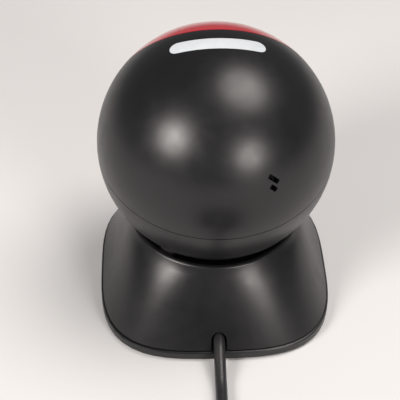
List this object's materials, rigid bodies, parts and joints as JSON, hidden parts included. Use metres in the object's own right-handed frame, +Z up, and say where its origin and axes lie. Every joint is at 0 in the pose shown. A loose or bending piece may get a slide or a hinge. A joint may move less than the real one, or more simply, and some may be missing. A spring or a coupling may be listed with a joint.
{
  "type": "hands-free barcode scanner",
  "caption": "Desktop hands-free barcode scanner: a ball head with a front window and a status light bar tilts in the cup of a flared, weighted base, with a USB cable.",
  "frame": {"origin": "middle of the base on the surface it stands on", "axes": "+Z up; the window faces -Y at rest and the cable leaves the base at +Y; the tilt axis runs along X through the ball's centre"},
  "size_m": [0.099, 0.2287, 0.1229],
  "materials": {
    "black_plastic": "fine moulded texture, satin",
    "inner_plastic": "matte",
    "red_plastic": "glossy",
    "light_guide": "translucent, satin",
    "window_tint": "tinted acrylic",
    "rubber": "matte",
    "cable_jacket": "smooth, satin",
    "screw_steel": "zinc plated",
    "ballast_steel": "zinc plated plate",
    "circuit_board": "solder mask",
    "led": "clear dome",
    "aimer_red": "glossy",
    "lens_glass": "coated",
    "chip": "matte",
    "white_plastic": "matte",
    "plug_plastic": "matte",
    "plug_metal": "bright"
  },
  "bodies": {
    "base": {"base_shell": "black_plastic", "base_plate": "black_plastic", "rubber_feet": "rubber", "base_screws": "screw_steel", "ballast": "ballast_steel", "ballast_screws": "screw_steel", "friction_pads": "rubber", "cable_collar": "cable_jacket", "cable_clamp": "screw_steel", "cable_clamp_screws": "screw_steel", "inner_lead": "cable_jacket", "usb_cable": "cable_jacket", "usb_coil": "cable_jacket", "usb_cable_end": "cable_jacket", "usb_plug_body": "plug_plastic", "usb_plug_shell": "plug_metal", "usb_plug_tongue": "white_plastic"},
    "head": {"upper_shell": "black_plastic", "lower_shell": "black_plastic", "front_ring": "red_plastic", "window": "window_tint", "window_seal": "rubber", "carrier": "inner_plastic", "carrier_screws": "screw_steel", "light_bar": "light_guide", "bar_board": "circuit_board", "bar_leds": "led", "buzzer": "inner_plastic", "illumination_board": "circuit_board", "illumination_leds": "led", "light_baffle": "inner_plastic", "aimer": "aimer_red", "lens_barrel": "inner_plastic", "lens": "lens_glass", "imager_housing": "inner_plastic", "image_sensor": "chip", "imager_board": "circuit_board", "main_board": "circuit_board", "board_chips": "chip", "board_posts": "screw_steel", "head_lead": "cable_jacket", "lead_plug": "white_plastic", "saddle_washer": "screw_steel", "tilt_spring": "screw_steel", "tilt_nut": "screw_steel"}
  },
  "joints": [
    {"name": "head_tilt", "type": "hinge", "parent": "base", "child": "head", "pos_m": [0, 0, 0.075], "axis": [-1, 0, 0], "range_deg": [-32.6, 7.4]}
  ]
}
